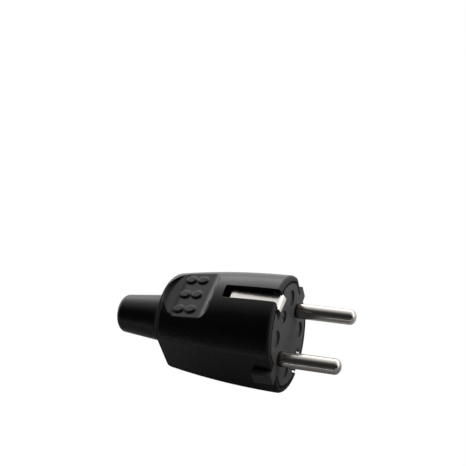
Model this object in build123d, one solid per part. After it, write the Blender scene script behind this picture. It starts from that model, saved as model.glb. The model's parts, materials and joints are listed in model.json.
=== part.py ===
from build123d import *
from math import atan2, cos, degrees, radians, sin, sqrt
import os

# Two-pin earthed plug, rewirable, for a cord that leaves by the tail.
# Frame: X along the plug's axis, towards the pin tips; Y along the line of the two pins;
# Z up, through the two earth strips. The origin is the centre of the contact face.
# All sizes are millimetres.

# Pins
pin_diameter = 4.8
pin_spacing = 19.0
pin_length = 19.0
pin_tip_length = 1.9

# Hood, outside
hood_front_radius = 18.0
hood_length = 39.0
barrel_side_radius = 232.0
flat_half_width = 16.1
tail_round = 3.0
tail_land = 0.1
hood_wall = 1.6
rim_round = 1.1
crease_round = 1.4

# Finger recess on the hood's top and its mirror below, counted back from the contact face
recess_front = 24.3
recess_front_depth = 3.95
recess_front_sweep = 4.0
recess_step = 33.0
recess_step_length = 0.9
recess_step_depth = 4.95
recess_tail_depth = 4.65
recess_tail_wall = 0.8
recess_tail_round = 12.3
bump_length = 3.6
bump_width = 3.1
bump_height = 0.55
bump_round = 0.45
bump_rows = 3
bump_row_pitch = 5.9
bump_columns = 2
bump_column_pitch = 4.0
bump_front = 27.1

# Slots of the hood
strip_slot_width = 4.8
strip_slot_length = 17.4
lug_clearance = 0.12

# Contact carrier
carrier_gap = 0.2
carrier_length = 15.6
plate_thickness = 2.6
plate_chamfer = 0.15
body_gap = 0.8
chamber_front = 5.2
chamber_clearance = 0.15
lug_width = 4.4
lug_sink = 0.2
lug_length = 6.2
lug_chamfer = 0.25
pocket_diameter = 5.2
pocket_depth = 0.6
pocket_across = 16.0
pocket_up = 15.0
notch_width = 8.0
notch_drop = 4.3
core_wall = 1.4

# Terminal blocks of the pins, with their screws and plates
shank_diameter = 5.2
block_width = 6.5
block_height = 7.0
block_length = 9.4
block_chamfer = 0.5
wire_hole_diameter = 3.2
wire_hole_depth = 7.0
terminal_screw_back = 3.4
terminal_screw_diameter = 3.0
terminal_head_diameter = 4.8
wire_plate_thickness = 0.8
wire_plate_margin = 0.3
wire_plate_round = 0.8

# Earth bracket, one bent strip
strip_thickness = 1.0
strip_width = 4.3
strip_sink = 2.4
strip_clearance = 0.15
strip_bend = 1.0
strip_seat_chamfer = 0.35
nose_width = 5.5
nose_crest_x = 0.5
nose_crest_drop = 2.7
nose_crest_round = 0.9
nose_root_x = -0.2
nose_root_round = 1.2
nose_return_x = -1.2
nose_return_drop = 3.5
earth_pad_width = 7.2
earth_pad_round = 1.0
earth_screw_depth = 5.4

# Terminal cover with its cord saddle, and the cord grip
cover_thickness = 1.8
cover_gap = 1.8
cover_height = 11.2
cover_low = 9.7
cover_screw_depth = 7.0
cover_screw_drop = 6.9
cover_screw_inset = 1.5
prong_margin = 0.4
wire_passage_diameter = 4.2
window_margin = 0.4
cord_diameter = 7.0
cord_drop = 1.0
saddle_length = 12.5
saddle_round = 2.0
saddle_sink = 0.6
post_rise = 1.2
post_margin = 0.5
clamp_back = 8.5
clamp_screw_across = 16.4
clamp_width = 6.0
clamp_thickness = 1.8
rib_width = 1.6
rib_bite = 0.4
small_screw_diameter = 2.6
small_head_diameter = 4.6

# Housing screw, its nut and the post that holds the nut
housing_screw_diameter = 3.0
housing_screw_height = 8.0
housing_screw_end = 2.0
housing_head_diameter = 3.8
housing_head_sink = 0.45
nut_across = 5.5
nut_thickness = 2.4
post_width = 7.2

# Cord sleeve
sleeve_length = 18.0
sleeve_root_radius = 7.5
sleeve_ring_length = 3.0
sleeve_ring_height = 0.2
sleeve_tip_radius = 6.0
sleeve_tip_round = 2.0
sleeve_bore_diameter = 7.8
sleeve_neck_radius = 5.7
sleeve_flange_radius = 6.9
sleeve_flange_length = 2.2

# Clearances
fit_clearance = 0.1
thread_clearance = 0.03
hole_clearance = 0.25

# Places worked out from the sizes above
tail_inside = -(hood_length - hood_wall)
notch_height = hood_front_radius - strip_sink - notch_drop
strip_height = hood_front_radius - strip_sink
block_front_x = -chamber_front
block_back_x = block_front_x - block_length
terminal_screw_x = block_back_x + terminal_screw_back
web_front_x = -carrier_length - fit_clearance
web_back_x = web_front_x - strip_thickness
cover_front_x = web_back_x - fit_clearance
cover_back_x = cover_front_x - cover_thickness
nut_front_x = cover_back_x - fit_clearance
clamp_x = cover_back_x - clamp_back
saddle_top = -cord_drop - saddle_sink
clamp_seat = saddle_top + post_rise
clamp_top = cord_diameter / 2 - cord_drop + clamp_thickness
pin_places = (-pin_spacing / 2, pin_spacing / 2)
clamp_screw_places = (-clamp_screw_across / 2, clamp_screw_across / 2)
cover_screw_y = pin_spacing / 2 - cover_screw_inset
cover_screw_places = ((-cover_screw_y, -cover_screw_drop), (cover_screw_y, -cover_screw_drop))
far = 4 * hood_front_radius


def rod(x, y, z, radius, length):
    """A round bar along X that starts at x and runs towards the tail."""
    bar = Cylinder(radius, length, align=(Align.CENTER, Align.CENTER, Align.MIN))
    return Pos(x - length, y, z) * Rot(0, 90, 0) * bar


def upright(x, y, z, radius, length):
    """A round bar along Z that starts at z and runs up."""
    return Pos(x, y, z) * Cylinder(radius, length, align=(Align.CENTER, Align.CENTER, Align.MIN))


def block(x0, x1, y0, y1, z0, z1):
    """A box between two corners."""
    return Pos((x0 + x1) / 2, (y0 + y1) / 2, (z0 + z1) / 2) * Box(x1 - x0, y1 - y0, z1 - z0)


def both_sides(shape):
    """The shape and its mirror below the axis."""
    return shape + mirror(shape, Plane.XY)


def slotted_screw(diameter, head_diameter, length):
    """Cheese-head screw along Z, its head above zero and its shank below."""
    height = head_height(head_diameter)
    head = upright(0, 0, 0, head_diameter / 2, height)
    head = fillet(head.faces().sort_by(Axis.Z)[-1].edges(), height / 4)
    slot_half = head_diameter / 11
    head -= block(-head_diameter, head_diameter, -slot_half, slot_half, height / 2, 2 * height)
    shank = upright(0, 0, -length, diameter / 2, length)
    shank = chamfer(shank.faces().sort_by(Axis.Z)[0].edges(), diameter / 8)
    return head + shank


def head_height(head_diameter):
    """Height of a cheese head."""
    return 0.45 * head_diameter


def side_face(half, inset, tail_x):
    """Half of the hood's section: a long barrel arc, then a round that the flat tail cuts just short."""
    long_radius = barrel_side_radius - inset
    tail_radius = tail_round - inset
    round_x = tail_x + tail_radius - tail_land
    long_centre = half - barrel_side_radius
    round_centre = long_centre + sqrt((long_radius - tail_radius) ** 2 - round_x**2)
    seam_x = round_x * long_radius / (long_radius - tail_radius)
    seam = (seam_x, long_centre + sqrt(long_radius**2 - seam_x**2))
    middle = (seam_x / 2, long_centre + sqrt(long_radius**2 - (seam_x / 2) ** 2))
    tail = (tail_x, round_centre + sqrt(tail_radius**2 - (tail_x - round_x) ** 2))
    turns = [atan2(r - round_centre, x - round_x) for x, r in (seam, tail)]
    turn = sum(turns) / 2
    bend = (round_x + tail_radius * cos(turn), round_centre + tail_radius * sin(turn))
    front = (0, half - inset)
    outline = Polyline(tail, (tail_x, 0), (0, 0), front)
    outline += ThreePointArc(front, middle, seam) + ThreePointArc(seam, bend, tail)
    return make_face(outline)


def hood_form(inset, tail_x):
    """The hood's outer form pulled in by inset: a turned barrel between two curved flats."""
    turned = revolve(side_face(hood_front_radius, inset, tail_x), Axis.X, 360)
    slab = extrude(side_face(flat_half_width, inset, tail_x), hood_front_radius + 1, both=True)
    return turned & (slab + mirror(slab, Plane.XZ))


def recess_cutter(grow):
    """What the finger recess takes away: a sloping floor, a swept front and a round tail wall."""
    top = hood_front_radius + 2
    sweep = recess_front_sweep + grow
    front_height = hood_front_radius - recess_front_depth
    sweep_centre = front_height + recess_front_sweep
    sweep_start = (-recess_front, front_height - grow)
    sweep_middle = (-recess_front + sweep * sin(radians(45)), sweep_centre - sweep * cos(radians(45)))
    sweep_end = (-recess_front + sweep, sweep_centre)
    tail_height = hood_front_radius - recess_tail_depth - grow
    step_height = hood_front_radius - recess_step_depth - grow
    floor = Polyline(
        sweep_end,
        (sweep_end[0], top),
        (-hood_length, top),
        (-hood_length, tail_height),
        (-recess_step - recess_step_length / 2, tail_height),
        (-recess_step + recess_step_length / 2, step_height),
        sweep_start,
    )
    floor += ThreePointArc(sweep_start, sweep_middle, sweep_end)
    cutter = extrude(Plane.XZ * make_face(floor), hood_front_radius, both=True)
    round_x = recess_tail_wall - hood_length + recess_tail_round
    tail_wall = upright(round_x, 0, 0, recess_tail_round + grow, top)
    ahead = block(round_x, 0, -hood_front_radius, hood_front_radius, 0, top)
    return cutter & (tail_wall + ahead)


def recess_bumps():
    """Rows of low oval bumps on the sloping floor."""
    slope = (recess_step_depth - recess_front_depth) / (recess_step - recess_front)
    root = hood_wall / 2
    oval = extrude(Ellipse(bump_length / 2, bump_width / 2), bump_height + root)
    oval = fillet(oval.faces().sort_by(Axis.Z)[-1].edges(), bump_round)
    oval = Rot(0, -degrees(atan2(slope, 1)), 0) * oval
    bumps = Part()
    for column in range(bump_columns):
        x = -bump_front - column * bump_column_pitch
        floor = hood_front_radius - recess_front_depth + slope * (x + recess_front)
        for row in range(bump_rows):
            y = (row - (bump_rows - 1) / 2) * bump_row_pitch
            bumps += Pos(x, y, floor - root) * oval
    return bumps


def nut_form(x, length, grow):
    """Hexagon along X from x towards the tail: the nut, or its pocket when grown."""
    hexagon = extrude(RegularPolygon(nut_across / 2 + grow, 6, major_radius=False), length)
    return Pos(x - length, 0, housing_screw_height) * Rot(0, 90, 0) * hexagon


def housing_post():
    """Post along the hood's inside, with the pocket of the nut in its front end."""
    half = post_width / 2
    back = tail_inside + sleeve_flange_length + 2 * hole_clearance
    low = housing_screw_height - half
    high = hood_front_radius - recess_step_depth - hood_wall / 2
    post = block(back, nut_front_x, -half, half, low, high)
    lower_edges = post.edges().filter_by(Axis.X).sort_by(Axis.Z)[:2]
    post = fillet(lower_edges, 0.8 * half)
    post -= nut_form(nut_front_x + 1, 1 + nut_thickness + fit_clearance, fit_clearance)
    hole_radius = housing_screw_diameter / 2 + hole_clearance
    hole_depth = nut_thickness + 2 * housing_screw_end
    post -= rod(nut_front_x, 0, housing_screw_height, hole_radius, hole_depth)
    return post & hood_form(hood_wall / 2, tail_inside)


def make_hood():
    outer = hood_form(0, -hood_length)
    long_edges = outer.edges().filter_by(lambda edge: edge.length > 0.8 * hood_length)
    crease = long_edges.filter_by(lambda edge: abs(edge.center().Y) > flat_half_width / 2)
    outer = fillet(crease, crease_round)
    outer = fillet(outer.faces().sort_by(Axis.X)[-1].edges(), rim_round)
    outer -= both_sides(recess_cutter(0))
    cavity = hood_form(hood_wall, tail_inside) - both_sides(recess_cutter(hood_wall))
    shell = outer - cavity
    shell += both_sides(recess_bumps())
    half = strip_slot_width / 2
    strip_slot = block(-strip_slot_length, 1, -half, half, notch_height, hood_front_radius + 1)
    shell -= both_sides(strip_slot)
    half = lug_width / 2 + lug_clearance
    reach = hood_front_radius + 1
    shell -= block(-lug_length - lug_clearance, 1, -reach, reach, -half, half)
    shell -= rod(tail_inside + 1, 0, 0, sleeve_neck_radius, hood_length)
    return shell + housing_post()


def make_sleeve():
    """Tapered bend relief with a groove that snaps into the hood's tail."""
    slack = fit_clearance / 2
    root = -hood_length - slack
    tip = -hood_length - sleeve_length
    bore = sleeve_bore_diameter / 2
    neck = sleeve_neck_radius - slack
    groove_front = tail_inside + slack
    flange_front = groove_front + sleeve_flange_length
    ring_back = root - sleeve_ring_length
    ring_radius = sleeve_root_radius + sleeve_ring_height
    outline = Polyline(
        (flange_front, bore),
        (flange_front, sleeve_flange_radius),
        (groove_front, sleeve_flange_radius),
        (groove_front, neck),
        (root, neck),
        (root, ring_radius),
        (ring_back + sleeve_ring_height, ring_radius),
        (ring_back, sleeve_root_radius),
        (tip, sleeve_tip_radius),
        (tip, bore),
        close=True,
    )
    body = revolve(make_face(outline), Axis.X, 360)
    tip_edge = body.faces().sort_by(Axis.X)[0].edges().sort_by(SortBy.RADIUS)[-1]
    return fillet(tip_edge, min(sleeve_tip_round, 0.95 * (sleeve_tip_radius - bore)))


def flatted_slice(radius, half, front, back):
    """Round slice between two flats."""
    return rod(front, 0, 0, radius, front - back) & block(back, front, -half, half, -radius, radius)


def make_carrier():
    """Moulded insert: face plate, guide lugs, terminal chambers, channels of the earth strips."""
    radius = hood_front_radius - hood_wall
    half = flat_half_width - hood_wall
    disc = rod(0, 0, 0, radius - carrier_gap, plate_thickness)
    disc = chamfer(disc.faces().sort_by(Axis.X)[-1].edges(), plate_chamfer)
    flat = half - carrier_gap
    slab = block(-plate_thickness, 0, -flat, flat, -radius, radius)
    slab = chamfer(slab.faces().sort_by(Axis.X)[-1].edges().filter_by(Axis.Z), plate_chamfer)
    carrier = (disc & slab) + flatted_slice(radius - body_gap, half - body_gap, -plate_thickness, -carrier_length)
    lug_reach = hood_front_radius - lug_sink
    lugs = block(-lug_length, 0, -lug_reach, lug_reach, -lug_width / 2, lug_width / 2)
    lug_ends = lugs.faces().filter_by(Axis.Y)
    carrier += chamfer(lug_ends.edges(), lug_chamfer)
    for y in (-pocket_across / 2, pocket_across / 2):
        for z in (-pocket_up / 2, pocket_up / 2):
            carrier -= rod(0, y, z, pocket_diameter / 2, pocket_depth)
    # Channels of the strips and the wider notches of their noses
    top = hood_front_radius + 1
    floor = strip_height - strip_thickness - strip_clearance
    channel = strip_width / 2 + strip_clearance
    carrier -= both_sides(block(-carrier_length, 0, -channel, channel, floor, top))
    seat_edges = carrier.edges().filter_by(Axis.Y).filter_by(lambda edge: edge.center().X < -plate_thickness)
    seat_edges = seat_edges.filter_by(lambda edge: abs(abs(edge.center().Z) - floor) < fit_clearance / 2)
    carrier = chamfer(seat_edges, strip_seat_chamfer)
    carrier -= both_sides(block(-plate_thickness, 0, -notch_width / 2, notch_width / 2, notch_height, top))
    # Chambers of the terminal blocks, open to the back and above, where the screws are
    chamber = block_width / 2 + chamber_clearance
    chamber_low = -block_height / 2 - chamber_clearance
    for y in pin_places:
        carrier -= block(-carrier_length, block_front_x, y - chamber, y + chamber, chamber_low, top)
        carrier -= rod(0, y, 0, shank_diameter / 2 + thread_clearance, chamber_front)
    # Core that keeps the walls even below the earth terminal
    core = pin_spacing / 2 - chamber - core_wall
    core_top = -terminal_screw_diameter - core_wall
    carrier -= block(-carrier_length, block_front_x, -core, core, core_wall - floor, core_top)
    # Holes of the screws
    head = housing_head_diameter / 2 + fit_clearance
    head_depth = housing_head_sink + head_height(housing_head_diameter)
    carrier -= rod(0, 0, housing_screw_height, head, head_depth)
    shank = housing_screw_diameter / 2 + hole_clearance
    carrier -= rod(0, 0, housing_screw_height, shank, carrier_length)
    earth_hole = terminal_screw_diameter / 2 + hole_clearance
    carrier -= rod(earth_screw_depth - carrier_length, 0, 0, earth_hole, earth_screw_depth)
    cover_hole = small_screw_diameter / 2 + thread_clearance
    for y, z in cover_screw_places:
        carrier -= rod(cover_screw_depth - carrier_length, y, z, cover_hole, cover_screw_depth)
    return carrier


def make_pin(y):
    """Round pin with a domed tip, one piece with its terminal block."""
    radius = pin_diameter / 2
    shank = shank_diameter / 2
    dome = pin_length - pin_tip_length
    outline = Polyline(
        (dome, radius), (0, radius), (0, shank), (block_front_x, shank), (block_front_x, 0), (pin_length, 0)
    )
    outline += EllipticalCenterArc((dome, 0), pin_tip_length, radius, 0, arc_size=90)
    shaft = revolve(make_face(outline), Axis.X, 360)
    half = block_width / 2
    body = block(block_back_x, block_front_x, -half, half, -block_height / 2, block_height / 2)
    body = chamfer(body.edges().filter_by(Axis.X), block_chamfer)
    pin = shaft + body
    pin -= rod(block_back_x + wire_hole_depth, 0, 0, wire_hole_diameter / 2, wire_hole_depth)
    thread = terminal_screw_diameter / 2 + thread_clearance
    pin -= upright(terminal_screw_x, 0, 0, thread, block_height)
    return Pos(0, y, 0) * pin


def make_terminal_screw(y):
    """Screw that comes down through the wire plate into the block's wire hole."""
    seat = block_height / 2 + wire_plate_thickness
    length = seat - wire_hole_diameter / 8
    screw = slotted_screw(terminal_screw_diameter, terminal_head_diameter, length)
    return Pos(terminal_screw_x, y, seat) * screw


def make_wire_plate(y):
    """Spring plate between the terminal block and the head of its screw."""
    half = block_width / 2 - wire_plate_margin
    low = block_height / 2
    plate = block(-half, half, -half, half, low, low + wire_plate_thickness)
    plate = fillet(plate.edges().filter_by(Axis.Z), wire_plate_round)
    plate -= upright(0, 0, low, terminal_screw_diameter / 2 + thread_clearance, wire_plate_thickness)
    return Pos(terminal_screw_x, y, 0) * plate


def bracket_section():
    """Section of the bent strip in the XZ plane, a band of even thickness."""
    arm = strip_height - strip_thickness / 2
    web = (web_front_x + web_back_x) / 2
    half_path = [
        (nose_return_x, strip_height - nose_return_drop),
        (nose_crest_x, strip_height - nose_crest_drop),
        (nose_root_x, arm),
        (web, arm),
    ]
    other_half = [(x, -z) for x, z in reversed(half_path)]
    bends = [nose_crest_round, nose_root_round, strip_bend]
    path = FilletPolyline(*half_path, *other_half, radius=bends + bends[::-1])
    return Plane.XZ * trace(path, strip_thickness)


def make_bracket():
    """Earth strips with wide noses, and a pad in the web that takes the earth wire."""
    section = bracket_section()
    arms = extrude(section, strip_width / 2, both=True)
    noses = extrude(section, nose_width / 2, both=True)
    noses &= block(nose_return_x - 1, far, -far, far, -far, far)
    crest = strip_height - strip_thickness
    noses &= block(-far, 0, -far, far, -crest, crest) + block(0, far, -far, far, -far, far)
    pad_half = earth_pad_width / 2
    pad = block(web_back_x, web_front_x, -pad_half, pad_half, -pad_half, pad_half)
    pad = fillet(pad.edges().filter_by(Axis.X), earth_pad_round)
    bracket = arms + noses + pad
    bracket -= rod(web_front_x, 0, 0, terminal_screw_diameter / 2 + thread_clearance, strip_thickness)
    hole = housing_screw_diameter / 2 + hole_clearance
    return bracket - rod(web_front_x, 0, housing_screw_height, hole, strip_thickness)


def make_earth_plate():
    """Square plate that presses the earth wire on the bracket's pad."""
    half = earth_pad_width / 2 - wire_plate_margin
    plate = block(web_back_x - wire_plate_thickness, web_back_x, -half, half, -half, half)
    plate = fillet(plate.edges().filter_by(Axis.X), wire_plate_round)
    return plate - rod(web_back_x, 0, 0, terminal_screw_diameter / 2 + thread_clearance, wire_plate_thickness)


def make_earth_screw():
    """Screw of the earth terminal, driven from the back."""
    seat = web_back_x - wire_plate_thickness
    length = earth_screw_depth - carrier_length - fit_clearance - seat
    screw = slotted_screw(terminal_screw_diameter, terminal_head_diameter, length)
    return Pos(seat, 0, 0) * Rot(0, -90, 0) * screw


def make_cover():
    """Moulded rear part: shuts the chambers and carries the cord saddle."""
    radius = hood_front_radius - hood_wall - cover_gap
    half = flat_half_width - hood_wall - cover_gap
    plate = flatted_slice(radius, half, cover_front_x, cover_back_x)
    plate &= block(cover_back_x, cover_front_x, -half, half, -cover_low, cover_height)
    # Prongs that hold the terminal blocks in their chambers
    prong = block_width / 2 - prong_margin
    prong_height = block_height / 2 - prong_margin
    for y in pin_places:
        tip = block_back_x - fit_clearance
        plate += block(cover_front_x, tip, y - prong, y + prong, -prong_height, prong_height)
    # Cord saddle with a post for each clamp screw
    saddle_half = clamp_screw_across / 2 + small_head_diameter / 2 + post_margin
    saddle_back = cover_back_x - saddle_length
    saddle = block(saddle_back, cover_back_x, -saddle_half, saddle_half, -cover_low, saddle_top)
    low_edges = saddle.edges().filter_by(Axis.X).sort_by(Axis.Z)[:2]
    saddle = fillet(low_edges, saddle_round)
    post_radius = small_head_diameter / 2 + post_margin
    for y in clamp_screw_places:
        saddle += upright(clamp_x, y, saddle_top - 1, post_radius, 1 + post_rise)
    plate = (plate + saddle) & hood_form(hood_wall + fit_clearance, tail_inside)
    plate -= rod(cover_back_x, 0, -cord_drop, cord_diameter / 2, saddle_length)
    # Window of the earth terminal, and the ways of the wires and the screws
    window = earth_pad_width / 2 + window_margin
    window_back = cover_back_x - head_height(terminal_head_diameter)
    plate -= block(window_back, cover_front_x, -window, window, -window, window)
    for y in pin_places:
        plate -= rod(0, y, 0, wire_passage_diameter / 2, -cover_back_x + clamp_back - clamp_width)
    thread = small_screw_diameter / 2 + thread_clearance
    for y in clamp_screw_places:
        plate -= upright(clamp_x, y, small_screw_diameter - cover_low, thread, far)
    hole = housing_screw_diameter / 2 + hole_clearance
    plate -= rod(0, 0, housing_screw_height, hole, far)
    head_room = small_head_diameter / 2 + hole_clearance
    for y, z in cover_screw_places:
        plate -= rod(0, y, z, thread, far)
        plate -= rod(cover_back_x, y, z, head_room, saddle_length)
    return plate


def make_cover_screw(y, z):
    length = cover_screw_depth - carrier_length - fit_clearance - cover_back_x
    screw = slotted_screw(small_screw_diameter, small_head_diameter, length)
    return Pos(cover_back_x, y, z) * Rot(0, -90, 0) * screw


def make_clamp():
    """Bar over the cord, with a rib that bites into it."""
    half = clamp_screw_across / 2 + small_head_diameter / 2 + post_margin
    x0 = clamp_x - clamp_width / 2
    x1 = clamp_x + clamp_width / 2
    bar = block(x0, x1, -half, half, clamp_seat, clamp_top)
    bar = fillet(bar.edges().filter_by(Axis.Z), clamp_width / 3)
    bar -= rod(x1, 0, -cord_drop, cord_diameter / 2, clamp_width)
    rib = rod(clamp_x + rib_width / 2, 0, -cord_drop, cord_diameter / 2 + post_margin, rib_width)
    rib -= rod(clamp_x + rib_width / 2, 0, -cord_drop, cord_diameter / 2 - rib_bite, rib_width)
    rib &= block(x0, x1, -half, half, clamp_seat, clamp_top)
    bar += rib
    hole = small_screw_diameter / 2 + hole_clearance
    for y in clamp_screw_places:
        bar -= upright(clamp_x, y, clamp_seat, hole, clamp_top - clamp_seat)
    return bar


def make_clamp_screw(y):
    length = clamp_top + cover_low - small_screw_diameter - fit_clearance
    return Pos(clamp_x, y, clamp_top) * slotted_screw(small_screw_diameter, small_head_diameter, length)


def make_housing_screw():
    """Long screw from the contact face to the nut in the hood's post."""
    seat = -housing_head_sink - head_height(housing_head_diameter)
    length = seat - nut_front_x + nut_thickness + housing_screw_end
    screw = slotted_screw(housing_screw_diameter, housing_head_diameter, length)
    return Pos(seat, 0, housing_screw_height) * Rot(0, 90, 0) * screw


def make_housing_nut():
    nut = nut_form(nut_front_x, nut_thickness, 0)
    bore = housing_screw_diameter / 2 + thread_clearance
    return nut - rod(nut_front_x, 0, housing_screw_height, bore, nut_thickness)


line_y, neutral_y = pin_places
clamp_left, clamp_right = clamp_screw_places
cover_left, cover_right = cover_screw_places

parts = {
    "hood": make_hood(),
    "cord_sleeve": make_sleeve(),
    "contact_carrier": make_carrier(),
    "terminal_cover": make_cover(),
    "line_pin": make_pin(line_y),
    "neutral_pin": make_pin(neutral_y),
    "line_screw": make_terminal_screw(line_y),
    "neutral_screw": make_terminal_screw(neutral_y),
    "line_wire_plate": make_wire_plate(line_y),
    "neutral_wire_plate": make_wire_plate(neutral_y),
    "earth_bracket": make_bracket(),
    "earth_clamp_plate": make_earth_plate(),
    "earth_screw": make_earth_screw(),
    "cord_clamp": make_clamp(),
    "clamp_screw_left": make_clamp_screw(clamp_left),
    "clamp_screw_right": make_clamp_screw(clamp_right),
    "cover_screw_left": make_cover_screw(*cover_left),
    "cover_screw_right": make_cover_screw(*cover_right),
    "housing_screw": make_housing_screw(),
    "housing_nut": make_housing_nut(),
}

os.makedirs("parts", exist_ok=True)
for node, shape in parts.items():
    export_step(shape, f"parts/{node}.step")
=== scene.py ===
import json
from math import asin, cos, pi, radians, sin, sqrt

import bpy
from mathutils import Matrix, Vector


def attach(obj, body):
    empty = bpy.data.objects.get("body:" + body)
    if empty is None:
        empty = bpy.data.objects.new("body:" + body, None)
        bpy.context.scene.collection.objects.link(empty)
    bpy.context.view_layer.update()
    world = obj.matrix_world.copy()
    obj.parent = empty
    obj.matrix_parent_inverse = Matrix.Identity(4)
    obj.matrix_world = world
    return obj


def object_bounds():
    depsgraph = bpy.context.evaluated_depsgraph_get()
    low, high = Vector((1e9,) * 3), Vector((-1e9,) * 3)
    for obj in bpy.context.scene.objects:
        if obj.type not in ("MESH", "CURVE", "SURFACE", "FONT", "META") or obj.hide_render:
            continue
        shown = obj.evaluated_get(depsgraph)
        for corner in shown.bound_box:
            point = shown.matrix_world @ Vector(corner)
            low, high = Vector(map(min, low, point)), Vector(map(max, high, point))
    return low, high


# The looks of a two-pin earthed plug that lies on a pale table. Lengths are metres.
# X runs along the plug towards its pin tips, Y along the line of the pins, Z is up.

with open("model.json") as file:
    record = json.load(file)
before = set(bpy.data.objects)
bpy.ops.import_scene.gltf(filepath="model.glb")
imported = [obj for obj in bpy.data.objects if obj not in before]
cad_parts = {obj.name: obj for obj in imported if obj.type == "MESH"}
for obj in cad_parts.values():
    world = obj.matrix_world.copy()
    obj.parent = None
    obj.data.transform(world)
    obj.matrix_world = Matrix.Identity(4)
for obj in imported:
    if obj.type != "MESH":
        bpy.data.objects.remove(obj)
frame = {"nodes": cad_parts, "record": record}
cad_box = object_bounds()

MM = 0.001

# Camera: where it stands, what it looks at, and how far it is turned about its own axis
CAMERA_PLACE = (0.0834, -0.1595, 0.2108)
CAMERA_AIM = (-0.02099, 0.0210, 0.02045)
CAMERA_ROLL = -16.2
CAMERA_LENS = 69.51
CAMERA_NEAR = 5.0 * MM
SENSOR_WIDTH = 36.0

# Noises: their roughness, and the middle of their range, which is stretched over a mask
NOISE_ROUGHNESS = 0.6
NOISE_LOW = 0.3
NOISE_HIGH = 0.7

# Moulded skin: gloss clouds, grain, and how far a rounded edge turns before it looks worn
CLOUD_SCALE = 90.0
CLOUD_DETAIL = 4.0
GRAIN_DETAIL = 3.0
SKIN_SAMPLES = 10
WORN_START = 0.99
WORN_FULL = 0.8

# Drawn metal: fine lines along X, dull patches and slightly rounded edges
LINE_SCALE = 160.0
LINE_DETAIL = 5.0
LINE_DEPTH = 0.12
PATCH_SCALE = 260.0
PATCH_DETAIL = 3.0
METAL_SAMPLES = 4
METAL_EDGE = 0.1 * MM

# How deep the grain and the lines are, and how rough a plastic is where it is dull
RELIEF = 0.02 * MM
DULL_ROUGHNESS = 0.95

# Hood: its skin, and the two tones that the clouds mix
HOOD_SKIN = {"Grain Scale": 3800.0, "Grain Depth": 0.16, "Gloss Low": 0.24, "Gloss High": 0.32}
HOOD_TONES = ((0.001, 0.001, 0.001), (0.0018, 0.0018, 0.0018))
HOOD_GLOSS = 0.36

# Hood: how soft its edges look, and where its finger recesses lie
EDGE_ROUND = 0.18 * MM
RECESS_ROUND = 0.7 * MM
RECESS_FRONT = -20.0 * MM
RECESS_LOW = 11.5 * MM

# Hood: the dull band along its tail edge, which fades out across the plug between
# TAIL_NEAR and TAIL_FAR, and the half dull rim at its front edge
TAIL_EDGE = -36.8 * MM
TAIL_FADE = 0.6 * MM
TAIL_NEAR = 2.0 * MM
TAIL_FAR = 6.0 * MM
RIM_BACK = -0.6 * MM
RIM_FADE = 0.5 * MM
RIM_DULL = 0.5

# Insert: its skin and tones, the tone of worn edges and the tone of the painted shade in the gap at the hood
CARRIER_SKIN = {
    "Grain Scale": 2600.0, "Grain Depth": 0.6, "Edge Radius": 0.1 * MM,
    "Gloss Low": 0.55, "Gloss High": 0.68,
}
CARRIER_TONES = ((0.061, 0.061, 0.062), (0.081, 0.081, 0.082))
CARRIER_GLOSS = 0.2
WORN_TONE = (0.1, 0.1, 0.1)
PAINTED_GAP_SHADE = (0.002, 0.002, 0.002)

# Face plate of the insert, and the band along its edge where the shade of the gap to the hood is painted on
PLATE_RADIUS = 16.2 * MM
PLATE_HALF = 14.3 * MM
LUG_HALF = 2.3 * MM
RIM_SHADE = 0.85 * MM

# Sleeve: its skin and tones, and the dull ring that meets the hood
SLEEVE_SKIN = {
    "Grain Scale": 1900.0, "Grain Depth": 0.25, "Edge Radius": 0.3 * MM,
    "Gloss Low": 0.26, "Gloss High": 0.34,
}
SLEEVE_TONES = ((0.001, 0.001, 0.001), (0.002, 0.002, 0.002))
SLEEVE_GLOSS = 0.34
RING_BACK = -42.0 * MM
RING_FADE = 0.3 * MM

# Metals: bright tone, dull tone, how far the lines are drawn out, least and most roughness
METALS = {
    "pin_nickel": ((0.62, 0.585, 0.55), (0.50, 0.47, 0.44), 14.0, 0.13, 0.2),
    "nickel": ((0.70, 0.67, 0.635), (0.60, 0.57, 0.54), 10.0, 0.2, 0.3),
    "screw_steel": ((0.6, 0.6, 0.6), (0.5, 0.5, 0.5), 4.0, 0.25, 0.4),
    "screw_dark": ((0.22, 0.22, 0.22), (0.16, 0.16, 0.16), 4.0, 0.4, 0.5),
    "plate_brass": ((0.75, 0.58, 0.28), (0.6, 0.45, 0.2), 4.0, 0.25, 0.4),
}

# Pins: which pieces they are, and the painted shade at the root where each one leaves the plastic, in place
# of the dark face it reflects there
PINS = ("line_pin", "neutral_pin")
ROOT_START = 0.1 * MM
ROOT_END = 1.6 * MM
PAINTED_ROOT_SHADE = (0.05, 0.045, 0.04)

# Tail lip: what thickens the hood's wall behind each finger recess. First the hood's own
# arc and tail round, which the lip follows, then the lip's wall, its floor and its flare.
LIP_SIDE_RADIUS = 232.0 * MM
LIP_FRONT_RADIUS = 18.0 * MM
LIP_TAIL = -39.0 * MM
LIP_TAIL_ROUND = 3.0 * MM
LIP_TAIL_LAND = 0.1 * MM
LIP_START = -30.0 * MM
LIP_PROUD = 0.006 * MM
LIP_ARC = 12.3 * MM
LIP_WALL_OUT = -38.25 * MM
LIP_WALL_IN = -36.9 * MM
LIP_FLOOR = 13.3 * MM
LIP_FLARE = 0.38
LIP_CREST = -37.15 * MM
LIP_EDGE_ROUND = 0.01 * MM
LIP_SIDES = 256
LIP_STEPS = 14
LIP_SMOOTH_ANGLE = 30

# Table: its size and its own grey, how white the camera sees it, and the stretch along Y
# over which its reflections turn white
TABLE_SIZE = 1.6
TABLE_WHITE = 0.45
TABLE_GLOW = 0.97
TABLE_GLOW_STRENGTH = 1.03
TABLE_GLOW_START = -20.0 * MM
TABLE_GLOW_FULL = 60.0 * MM

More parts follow.
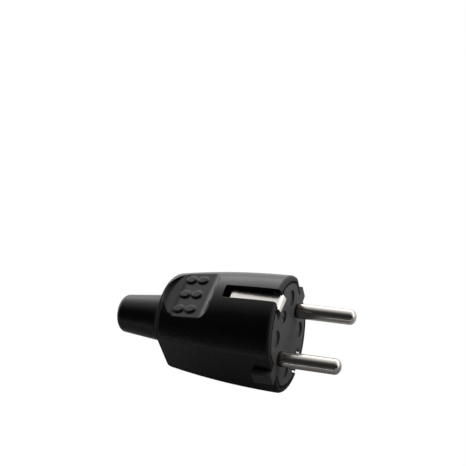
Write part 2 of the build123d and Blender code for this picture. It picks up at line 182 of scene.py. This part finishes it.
# Light: a long soft window behind the plug. Each pair is an angle, counted from the
# level behind the plug over the top to the level in front of it, and the light there.
HALF_TURN = 180.0
SKY_PEAK = 2.8
SKY_STEPS = (
    (0.0, 2.7),
    (12.0, 2.8),
    (30.0, 2.15),
    (46.0, 1.3),
    (60.0, 0.85),
    (74.0, 0.52),
    (84.0, 0.28),
    (96.0, 0.07),
    (110.0, 0.04),
    (140.0, 0.03),
    (165.0, 0.08),
    (HALF_TURN, 0.12),
)


def new_material(name):
    """A material with a plain Principled shader, its tree and that shader."""
    material = bpy.data.materials.new(name)
    material.use_nodes = True
    tree = material.node_tree
    return material, tree, tree.nodes["Principled BSDF"]


def add_sockets(group, way, kinds):
    """Named inputs or outputs of a shader node group."""
    for name, kind in kinds.items():
        group.interface.new_socket(name=name, in_out=way, socket_type="NodeSocket" + kind)


def link(tree, out_socket, in_socket):
    """Joins two nodes."""
    tree.links.new(out_socket, in_socket)


def feed(tree, value, in_socket):
    """Gives a socket a number or a colour, or links it to another node's socket."""
    if isinstance(value, (int, float)):
        in_socket.default_value = value
    elif isinstance(value, tuple):
        in_socket.default_value = (*value, 1.0)
    else:
        link(tree, value, in_socket)


def maths(tree, operation, first, second=0.0, clamp=False):
    """A Math node whose inputs are sockets or numbers."""
    node = tree.nodes.new("ShaderNodeMath")
    node.operation = operation
    node.use_clamp = clamp
    feed(tree, first, node.inputs[0])
    feed(tree, second, node.inputs[1])
    return node.outputs[0]


def map_range(tree, value, from_low, from_high, to_low, to_high, smooth=False):
    """A clamped Map Range node on one value."""
    node = tree.nodes.new("ShaderNodeMapRange")
    node.clamp = True
    node.interpolation_type = "SMOOTHSTEP" if smooth else "LINEAR"
    ends = {"From Min": from_low, "From Max": from_high, "To Min": to_low, "To Max": to_high}
    for name, end in ends.items():
        feed(tree, end, node.inputs[name])
    link(tree, value, node.inputs["Value"])
    return node.outputs["Result"]


def mix_colours(tree, share, first, second):
    """A colour between two colours, by a mask."""
    node = tree.nodes.new("ShaderNodeMix")
    node.data_type = "RGBA"
    link(tree, share, node.inputs["Factor"])
    ends = [socket for socket in node.inputs if socket.type == "RGBA"]
    feed(tree, first, ends[0])
    feed(tree, second, ends[1])
    return [socket for socket in node.outputs if socket.type == "RGBA"][0]


def noise(tree, vector, scale, detail, roughness=0.5):
    """A Noise Texture's value on the given coordinates."""
    node = tree.nodes.new("ShaderNodeTexNoise")
    node.inputs["Detail"].default_value = detail
    node.inputs["Roughness"].default_value = roughness
    feed(tree, scale, node.inputs["Scale"])
    link(tree, vector, node.inputs["Vector"])
    return node.outputs["Fac"]


def axes(tree, coordinates="Object"):
    """Texture coordinates as three sockets, by the names X, Y and Z."""
    place = tree.nodes.new("ShaderNodeTexCoord").outputs[coordinates]
    parts = tree.nodes.new("ShaderNodeSeparateXYZ")
    link(tree, place, parts.inputs["Vector"])
    return parts.outputs


def relief(tree, samples, edge_radius, height, depth):
    """The normal of rounded edges, and the same one with a fine relief on it."""
    bevel = tree.nodes.new("ShaderNodeBevel")
    bevel.samples = samples
    feed(tree, edge_radius, bevel.inputs["Radius"])
    bump = tree.nodes.new("ShaderNodeBump")
    bump.inputs["Distance"].default_value = RELIEF
    feed(tree, depth, bump.inputs["Strength"])
    link(tree, height, bump.inputs["Height"])
    link(tree, bevel.outputs["Normal"], bump.inputs["Normal"])
    return bevel.outputs["Normal"], bump.outputs["Normal"]


def placed_group(tree, group, values):
    """A node group placed in a material with its own values."""
    node = tree.nodes.new("ShaderNodeGroup")
    node.node_tree = group
    for name, value in values.items():
        feed(tree, value, node.inputs[name])
    return node


def moulded_skin_group():
    """Fine grain of a moulded wall, with soft gloss clouds and rounded edges."""
    group = bpy.data.node_groups.new("moulded_skin", "ShaderNodeTree")
    inputs = ("Grain Scale", "Grain Depth", "Edge Radius", "Gloss Low", "Gloss High")
    add_sockets(group, "INPUT", dict.fromkeys(inputs, "Float"))
    add_sockets(group, "OUTPUT", {
        "Roughness": "Float", "Edge": "Float", "Cloud": "Float", "Normal": "Vector",
    })
    given = group.nodes.new("NodeGroupInput").outputs
    out = group.nodes.new("NodeGroupOutput").inputs
    place = group.nodes.new("ShaderNodeTexCoord").outputs["Object"]
    grain = noise(group, place, given["Grain Scale"], GRAIN_DETAIL)
    cloud = noise(group, place, CLOUD_SCALE, CLOUD_DETAIL, NOISE_ROUGHNESS)
    rough = map_range(group, cloud, NOISE_LOW, NOISE_HIGH, given["Gloss Low"], given["Gloss High"])
    rounded, grained = relief(group, SKIN_SAMPLES, given["Edge Radius"], grain, given["Grain Depth"])
    face = group.nodes.new("ShaderNodeNewGeometry")
    turn = group.nodes.new("ShaderNodeVectorMath")
    turn.operation = "DOT_PRODUCT"
    link(group, rounded, turn.inputs[0])
    link(group, face.outputs["Normal"], turn.inputs[1])
    edge = map_range(group, turn.outputs["Value"], WORN_START, WORN_FULL, 0.0, 1.0)
    link(group, rough, out["Roughness"])
    link(group, edge, out["Edge"])
    link(group, cloud, out["Cloud"])
    link(group, grained, out["Normal"])
    return group


def drawn_metal_group():
    """Fine lines drawn along X, with soft dull patches."""
    group = bpy.data.node_groups.new("drawn_metal", "ShaderNodeTree")
    add_sockets(group, "INPUT", {
        "Bright": "Color", "Dull": "Color", "Stretch": "Float",
        "Gloss Low": "Float", "Gloss High": "Float",
    })
    add_sockets(group, "OUTPUT", {"Color": "Color", "Roughness": "Float", "Normal": "Vector"})
    given = group.nodes.new("NodeGroupInput").outputs
    out = group.nodes.new("NodeGroupOutput").inputs
    place = group.nodes.new("ShaderNodeTexCoord").outputs["Object"]
    across = group.nodes.new("ShaderNodeCombineXYZ")
    across.inputs["X"].default_value = 1.0
    link(group, given["Stretch"], across.inputs["Y"])
    link(group, given["Stretch"], across.inputs["Z"])
    squeeze = group.nodes.new("ShaderNodeVectorMath")
    squeeze.operation = "MULTIPLY"
    link(group, place, squeeze.inputs[0])
    link(group, across.outputs["Vector"], squeeze.inputs[1])
    lines = noise(group, squeeze.outputs["Vector"], LINE_SCALE, LINE_DETAIL, NOISE_ROUGHNESS)
    patches = noise(group, place, PATCH_SCALE, PATCH_DETAIL, NOISE_ROUGHNESS)
    colour = mix_colours(group, patches, given["Bright"], given["Dull"])
    rough = map_range(group, lines, NOISE_LOW, NOISE_HIGH, given["Gloss Low"], given["Gloss High"])
    lined = relief(group, METAL_SAMPLES, METAL_EDGE, lines, LINE_DEPTH)[1]
    link(group, colour, out["Color"])
    link(group, rough, out["Roughness"])
    link(group, lined, out["Normal"])
    return group


def join_plastic(tree, shader, made, colour, dull, gloss):
    """Joins a moulded skin to its shader, rougher where the dull mask is on."""
    link(tree, colour, shader.inputs["Base Color"])
    rough = map_range(tree, dull, 0.0, 1.0, made.outputs["Roughness"], DULL_ROUGHNESS)
    link(tree, rough, shader.inputs["Roughness"])
    link(tree, made.outputs["Normal"], shader.inputs["Normal"])
    shader.inputs["Specular IOR Level"].default_value = gloss


def hood_plastic(skin, name, edge_round, recess_round, tail_edge):
    """Satin black plastic of the hood, softer at the edges of the finger recesses."""
    material, tree, shader = new_material(name)
    made = placed_group(tree, skin, HOOD_SKIN)
    place = axes(tree)
    back = map_range(tree, place["X"], RECESS_FRONT, RECESS_FRONT - MM, 0.0, 1.0)
    high = map_range(tree, maths(tree, "ABSOLUTE", place["Z"]), RECESS_LOW, RECESS_LOW + MM, 0.0, 1.0)
    recess = maths(tree, "MULTIPLY", back, high)
    radius = map_range(tree, recess, 0.0, 1.0, edge_round, recess_round)
    link(tree, radius, made.inputs["Edge Radius"])
    tail = map_range(tree, place["X"], tail_edge - TAIL_FADE, tail_edge, 1.0, 0.0)
    near = map_range(tree, place["Y"], TAIL_NEAR, TAIL_FAR, 1.0, 0.0)
    front = map_range(tree, place["X"], RIM_BACK - RIM_FADE, RIM_BACK, 0.0, RIM_DULL)
    dull = maths(tree, "MAXIMUM", maths(tree, "MULTIPLY", tail, near), front)
    base = mix_colours(tree, made.outputs["Cloud"], *HOOD_TONES)
    join_plastic(tree, shader, made, base, dull, HOOD_GLOSS)
    return material


def carrier_plastic(skin):
    """Matte dark grey plastic of the insert, with painted shade along its outer edge where it meets the
    hood's wall, and rougher there.
    """
    material, tree, shader = new_material("carrier_grey")
    made = placed_group(tree, skin, CARRIER_SKIN)
    place = axes(tree)
    # Painted shade: a near black band along the plate's outer edge and sides, where the gap to the hood lies;
    # the same band is also rougher
    across = maths(tree, "ABSOLUTE", place["Y"])
    up = maths(tree, "ABSOLUTE", place["Z"])
    square = maths(tree, "ADD", maths(tree, "POWER", across, 2.0), maths(tree, "POWER", up, 2.0))
    outwards = maths(tree, "SQRT", square)
    half = RIM_SHADE / 2
    side = map_range(tree, across, PLATE_HALF - RIM_SHADE, PLATE_HALF - half, 0.0, 1.0)
    ring = map_range(tree, outwards, PLATE_RADIUS - RIM_SHADE, PLATE_RADIUS - half, 0.0, 1.0)
    lug = map_range(tree, up, LUG_HALF, LUG_HALF + half, 0.0, 1.0)
    rim = maths(tree, "MULTIPLY", maths(tree, "MAXIMUM", side, ring), lug)
    base = mix_colours(tree, made.outputs["Cloud"], *CARRIER_TONES)
    worn = mix_colours(tree, made.outputs["Edge"], base, WORN_TONE)
    colour = mix_colours(tree, rim, worn, PAINTED_GAP_SHADE)
    join_plastic(tree, shader, made, colour, rim, CARRIER_GLOSS)
    return material


def sleeve_rubber(skin):
    """Smooth black rubber of the cord sleeve, dull on the ring at the hood."""
    material, tree, shader = new_material("sleeve_black")
    made = placed_group(tree, skin, SLEEVE_SKIN)
    ring = map_range(tree, axes(tree)["X"], RING_BACK - RING_FADE, RING_BACK, 0.0, 1.0)
    base = mix_colours(tree, made.outputs["Cloud"], *SLEEVE_TONES)
    join_plastic(tree, shader, made, base, ring, SLEEVE_GLOSS)
    return material


def metal(name, drawn, bright, dull, stretch, gloss_low, gloss_high):
    """A bare metal made with the drawn group."""
    material, tree, shader = new_material(name)
    made = placed_group(tree, drawn, {
        "Bright": bright, "Dull": dull, "Stretch": stretch,
        "Gloss Low": gloss_low, "Gloss High": gloss_high,
    })
    link(tree, made.outputs["Color"], shader.inputs["Base Color"])
    link(tree, made.outputs["Roughness"], shader.inputs["Roughness"])
    link(tree, made.outputs["Normal"], shader.inputs["Normal"])
    shader.inputs["Metallic"].default_value = 1.0
    return material


def paint_root_shade(nickel):
    """Paints shade on the pins' nickel where each pin leaves the plastic, in place of the dark face that it
    reflects there.
    """
    tree = nickel.node_tree
    tone = tree.nodes["Principled BSDF"].inputs["Base Color"]
    bare = tone.links[0].from_socket
    # Painted shade: the nickel turns dark towards each pin's root
    root = map_range(tree, axes(tree)["X"], ROOT_START, ROOT_END, 1.0, 0.0, smooth=True)
    link(tree, mix_colours(tree, root, bare, PAINTED_ROOT_SHADE), tone)


def finish_nodes(skin):
    """Gives every carried-over piece its finish."""
    hood = hood_plastic(skin, "hood_black", EDGE_ROUND, RECESS_ROUND, TAIL_EDGE)
    carrier = carrier_plastic(skin)
    sleeve = sleeve_rubber(skin)
    drawn = drawn_metal_group()
    metals = {name: metal(name, drawn, *looks) for name, looks in METALS.items()}
    paint_root_shade(metals["pin_nickel"])
    finishes = {
        "hood_black": hood, "sleeve_black": sleeve, "carrier_grey": carrier, "cover_grey": carrier, **metals,
    }
    slots = {part["node"]: part["material_slot"] for part in frame["record"]["subparts"]}
    for node, piece in frame["nodes"].items():
        finish = "pin_nickel" if node in PINS else slots[node]
        piece.data.materials.clear()
        piece.data.materials.append(finishes[finish])


def tail_outline():
    """Places along X and the hood's radius there, from ahead of the lip to the tail."""
    turn_x = LIP_TAIL + LIP_TAIL_ROUND - LIP_TAIL_LAND
    axis = LIP_FRONT_RADIUS - LIP_SIDE_RADIUS
    turn_r = axis + sqrt((LIP_SIDE_RADIUS - LIP_TAIL_ROUND) ** 2 - turn_x**2)
    seam = turn_x * LIP_SIDE_RADIUS / (LIP_SIDE_RADIUS - LIP_TAIL_ROUND)
    places = []
    for step in range(LIP_STEPS):
        x = LIP_START + (seam - LIP_START) * step / LIP_STEPS
        places.append((x, axis + sqrt(LIP_SIDE_RADIUS**2 - x**2)))
    first = asin((turn_x - seam) / LIP_TAIL_ROUND)
    last = asin((turn_x - LIP_TAIL) / LIP_TAIL_ROUND)
    for step in range(LIP_STEPS + 1):
        angle = first + (last - first) * step / LIP_STEPS
        places.append((turn_x - LIP_TAIL_ROUND * sin(angle), turn_r + LIP_TAIL_ROUND * cos(angle)))
    return [(x, r + LIP_PROUD) for x, r in places]


def select_only(piece):
    """Leaves one piece selected and active."""
    bpy.ops.object.select_all(action="DESELECT")
    bpy.context.view_layer.objects.active = piece
    piece.select_set(True)


def cut(piece, operation, cutter):
    """Cuts a piece with another one, which then goes."""
    modifier = piece.modifiers.new("cut", "BOOLEAN")
    modifier.operation = operation
    modifier.solver = "EXACT"
    modifier.object = cutter
    select_only(piece)
    bpy.ops.object.modifier_apply(modifier=modifier.name)
    bpy.data.objects.remove(cutter, do_unlink=True)


def upright_cutter(x, radius):
    """A tall round bar on the plug's middle plane."""
    bpy.ops.object.select_all(action="DESELECT")
    bpy.ops.mesh.primitive_cylinder_add(
        vertices=LIP_SIDES, radius=radius, depth=4 * LIP_FRONT_RADIUS, location=(x, 0, 0)
    )
    return bpy.context.object


def flared_cutter(side):
    """A round bar that widens away from the middle plane, above it or below it."""
    wide = LIP_ARC + LIP_FLARE * LIP_FRONT_RADIUS
    radii = (LIP_ARC, wide) if side > 0 else (wide, LIP_ARC)
    place = (LIP_WALL_IN + LIP_ARC, 0, side * (LIP_FLOOR + LIP_FRONT_RADIUS / 2))
    bpy.ops.object.select_all(action="DESELECT")
    bpy.ops.mesh.primitive_cone_add(
        vertices=LIP_SIDES, radius1=radii[0], radius2=radii[1], depth=LIP_FRONT_RADIUS, location=place
    )
    return bpy.context.object


def middle_cutter():
    """A flat block that holds all that lies between the floors of the two finger recesses."""
    bpy.ops.object.select_all(action="DESELECT")
    bpy.ops.mesh.primitive_cube_add(size=2 * LIP_FLOOR, location=(LIP_TAIL + LIP_FLOOR / 2, 0, 0))
    block = bpy.context.object
    block.scale = (2, 2, 1)
    bpy.ops.object.transform_apply(location=True, rotation=True, scale=True)
    return block


def tail_lip(finish):
    """Crescents that give the wall between the finger recesses and the tail its full thickness."""
    outline = tail_outline()
    x, radius = outline[0]
    bpy.ops.object.select_all(action="DESELECT")
    bpy.ops.mesh.primitive_circle_add(
        vertices=LIP_SIDES, radius=radius, fill_type="NGON", location=(x, 0, 0), rotation=(0, radians(-90), 0)
    )
    lip = bpy.context.object
    lip.name = "hood_tail_lip"
    lip.data.name = "hood_tail_lip"
    bpy.ops.object.transform_apply(location=True, rotation=True, scale=True)
    bpy.ops.object.mode_set(mode="EDIT")
    bpy.ops.mesh.select_all(action="SELECT")
    for next_x, next_radius in outline[1:]:
        bpy.ops.mesh.extrude_region_move(TRANSFORM_OT_translate={"value": (next_x - x, 0, 0)})
        share = next_radius / radius
        bpy.ops.transform.resize(value=(1, share, share), center_override=(next_x, 0, 0))
        x, radius = next_x, next_radius
    bpy.ops.mesh.select_all(action="SELECT")
    bpy.ops.mesh.normals_make_consistent(inside=False)
    bpy.ops.object.mode_set(mode="OBJECT")
    cut(lip, "INTERSECT", upright_cutter(LIP_WALL_OUT + LIP_ARC, LIP_ARC))
    cut(lip, "DIFFERENCE", flared_cutter(1))
    cut(lip, "DIFFERENCE", flared_cutter(-1))
    cut(lip, "DIFFERENCE", middle_cutter())
    select_only(lip)
    bpy.ops.object.shade_smooth_by_angle(angle=radians(LIP_SMOOTH_ANGLE))
    lip.data.materials.append(finish)
    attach(lip, "root")


def table(lowest):
    """Pale table under the plug, white to the camera and white behind the plug in reflections."""
    bpy.ops.object.select_all(action="DESELECT")
    bpy.ops.mesh.primitive_plane_add(size=TABLE_SIZE, location=(0, 0, lowest))
    top = bpy.context.object
    top.name = "table"
    material = bpy.data.materials.new("table_white")
    material.use_nodes = True
    tree = material.node_tree
    tree.nodes.clear()
    out = tree.nodes.new("ShaderNodeOutputMaterial")
    cloth = tree.nodes.new("ShaderNodeBsdfDiffuse")
    cloth.inputs["Color"].default_value = (TABLE_WHITE, TABLE_WHITE, TABLE_WHITE, 1.0)
    glow = tree.nodes.new("ShaderNodeEmission")
    glow.inputs["Color"].default_value = (1.0, 1.0, 1.0, 1.0)
    glow.inputs["Strength"].default_value = TABLE_GLOW_STRENGTH
    behind = map_range(tree, axes(tree)["Y"], TABLE_GLOW_START, TABLE_GLOW_FULL, 0.0, 1.0, smooth=True)
    path = tree.nodes.new("ShaderNodeLightPath")
    seen = maths(tree, "MULTIPLY", path.outputs["Is Camera Ray"], TABLE_GLOW)
    mirrored = maths(tree, "MAXIMUM", path.outputs["Is Glossy Ray"], path.outputs["Is Transmission Ray"])
    shine = maths(tree, "MULTIPLY", mirrored, behind)
    mixed = tree.nodes.new("ShaderNodeMixShader")
    link(tree, maths(tree, "MAXIMUM", seen, shine), mixed.inputs["Fac"])
    link(tree, cloth.outputs["BSDF"], mixed.inputs[1])
    link(tree, glow.outputs["Emission"], mixed.inputs[2])
    link(tree, mixed.outputs["Shader"], out.inputs["Surface"])
    top.data.materials.append(material)


def sky():
    """White all round for the camera; for the object a window's light that fades over the top."""
    world = bpy.data.worlds.new("studio")
    bpy.context.scene.world = world
    world.use_nodes = True
    tree = world.node_tree
    tree.nodes.clear()
    out = tree.nodes.new("ShaderNodeOutputWorld")
    seen = tree.nodes.new("ShaderNodeBackground")
    seen.inputs["Color"].default_value = (1.0, 1.0, 1.0, 1.0)
    lit = tree.nodes.new("ShaderNodeBackground")
    place = axes(tree, "Generated")
    turn = maths(tree, "ARCTAN2", place["Z"], place["Y"])
    share = maths(tree, "DIVIDE", turn, pi, clamp=True)
    ramp = tree.nodes.new("ShaderNodeValToRGB")
    ramp.color_ramp.interpolation = "EASE"
    steps = ramp.color_ramp.elements
    # The ramp starts with its two ends, so only the steps between them are added
    for angle, _ in SKY_STEPS[1:-1]:
        steps.new(angle / HALF_TURN)
    for step, (_, light) in zip(steps, SKY_STEPS):
        level = light / SKY_PEAK
        step.color = (level, level, level, 1.0)
    link(tree, share, ramp.inputs["Fac"])
    link(tree, ramp.outputs["Color"], lit.inputs["Color"])
    lit.inputs["Strength"].default_value = SKY_PEAK
    path = tree.nodes.new("ShaderNodeLightPath")
    mixed = tree.nodes.new("ShaderNodeMixShader")
    link(tree, path.outputs["Is Camera Ray"], mixed.inputs["Fac"])
    link(tree, lit.outputs["Background"], mixed.inputs[1])
    link(tree, seen.outputs["Background"], mixed.inputs[2])
    link(tree, mixed.outputs["Shader"], out.inputs["Surface"])


def camera():
    """The photograph's viewing angle."""
    data = bpy.data.cameras.new("camera")
    data.sensor_width = SENSOR_WIDTH
    data.lens = CAMERA_LENS
    data.clip_start = CAMERA_NEAR
    eye = bpy.data.objects.new("camera", data)
    bpy.context.scene.collection.objects.link(eye)
    look = (Vector(CAMERA_AIM) - Vector(CAMERA_PLACE)).to_track_quat("-Z", "Y").to_matrix().to_4x4()
    roll = Matrix.Rotation(radians(CAMERA_ROLL), 4, "Z")
    eye.matrix_world = Matrix.Translation(CAMERA_PLACE) @ look @ roll
    bpy.context.scene.camera = eye


moulded_skin = moulded_skin_group()
finish_nodes(moulded_skin)
tail_lip(hood_plastic(moulded_skin, "hood_black_lip", LIP_EDGE_ROUND, LIP_EDGE_ROUND, LIP_CREST))
table(cad_box[0][2])
sky()
camera()
bpy.context.scene.view_settings.view_transform = "Standard"
